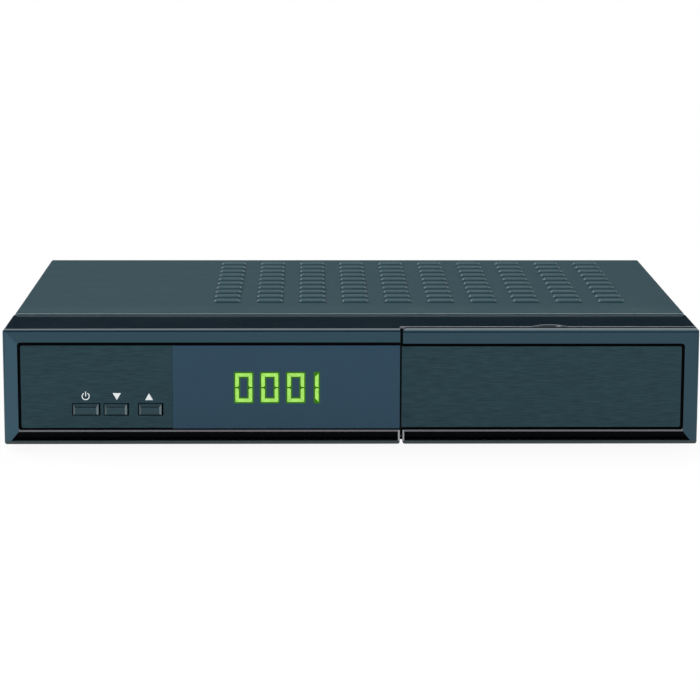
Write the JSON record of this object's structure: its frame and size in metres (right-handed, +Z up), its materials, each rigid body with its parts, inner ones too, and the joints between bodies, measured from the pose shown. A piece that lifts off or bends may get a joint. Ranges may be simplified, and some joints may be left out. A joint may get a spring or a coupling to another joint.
{
  "type": "satellite television receiver",
  "caption": "Set-top satellite receiver with glossy front, push keys, green digit display, drop-down flap, louvred steel cover and rear sockets.",
  "frame": {"origin": "on the surface the feet stand on, under the middle of the whole", "axes": "+X to the viewer's right along the width, -Y out of the front, +Z up"},
  "size_m": [0.28, 0.2006, 0.0522],
  "materials": {
    "gloss_black": "polished moulded plastic",
    "brushed_black": "dark anodised, brushed level",
    "smoked_acrylic": "smoked acrylic, polished",
    "key_black": "satin",
    "painted_steel": "fine-textured satin paint",
    "plated_steel": "zinc plated",
    "bright_steel": "bright plated",
    "black_steel": "black paint",
    "black_plastic": "moulded, fine matt",
    "white_plastic": "wire insulation",
    "green_board": "solder mask on glass-fibre board",
    "green_light": "lit light diffuser",
    "dark_rubber": "matt rubber",
    "grey_aluminium": "extruded, clear anodised",
    "chip_black": "moulded epoxy",
    "coil_yellow": "taped winding",
    "ribbon_grey": "flat cable insulation"
  },
  "bodies": {
    "receiver": {"audio_jack_block": "black_plastic", "card_reader": "plated_steel", "chassis_base": "plated_steel", "cover_screw_front_left": "bright_steel", "cover_screw_front_right": "bright_steel", "cover_screw_rear_left": "bright_steel", "cover_screw_rear_right": "bright_steel", "display_housing": "black_plastic", "display_light_panel": "green_light", "display_window": "smoked_acrylic", "down_switch": "black_plastic", "foot_front_left": "dark_rubber", "foot_front_right": "dark_rubber", "foot_rear_left": "dark_rubber", "foot_rear_right": "dark_rubber", "front_bezel": "gloss_black", "front_board": "green_board", "front_ribbon_cable": "ribbon_grey", "front_usb_socket": "plated_steel", "hdmi_socket": "plated_steel", "infrared_receiver": "chip_black", "inner_fascia": "black_plastic", "left_fascia": "brushed_black", "lnb_in_connector": "bright_steel", "lnb_out_connector": "bright_steel", "main_board": "green_board", "main_board_screw_front": "bright_steel", "main_board_screw_rear": "bright_steel", "mains_capacitor": "chip_black", "mains_inlet": "black_plastic", "power_board": "green_board", "power_board_screw_front": "bright_steel", "power_board_screw_rear": "bright_steel", "power_harness": "white_plastic", "power_heatsink": "grey_aluminium", "power_switch": "black_plastic", "processor": "chip_black", "processor_heatsink": "grey_aluminium", "rear_panel": "black_steel", "rear_panel_screw_left": "bright_steel", "rear_panel_screw_right": "bright_steel", "rear_usb_socket": "plated_steel", "rocker_housing": "black_plastic", "scart_tv_socket": "black_plastic", "scart_vcr_socket": "black_plastic", "spdif_socket": "black_plastic", "switch_wires": "white_plastic", "top_cover": "painted_steel", "transformer": "coil_yellow", "tuner_can": "bright_steel", "up_switch": "black_plastic"},
    "flap": {"flap_frame": "gloss_black", "flap_inlay": "brushed_black", "flap_pin_left": "bright_steel", "flap_pin_right": "bright_steel"},
    "power_key": {"power_key": "key_black"},
    "down_key": {"down_key": "key_black"},
    "up_key": {"up_key": "key_black"},
    "power_rocker": {"power_rocker": "black_plastic"}
  },
  "joints": [
    {"name": "flap_hinge", "type": "hinge", "parent": "receiver", "child": "flap", "pos_m": [0.08051, -0.0953, 0.0059], "axis": [1, 0, 0], "range_deg": [0, 90]},
    {"name": "power_key_press", "type": "slide", "parent": "receiver", "child": "power_key", "axis": [0, 1, 0], "range_m": [0, 0.0005], "stiffness_N_per_m": 800},
    {"name": "down_key_press", "type": "slide", "parent": "receiver", "child": "down_key", "axis": [0, 1, 0], "range_m": [0, 0.0005], "stiffness_N_per_m": 800},
    {"name": "up_key_press", "type": "slide", "parent": "receiver", "child": "up_key", "axis": [0, 1, 0], "range_m": [0, 0.0005], "stiffness_N_per_m": 800},
    {"name": "power_rocker_tilt", "type": "hinge", "parent": "receiver", "child": "power_rocker", "pos_m": [-0.0854, 0.0915, 0.0275], "axis": [0, 0, 1], "range_deg": [-24, 0]}
  ]
}
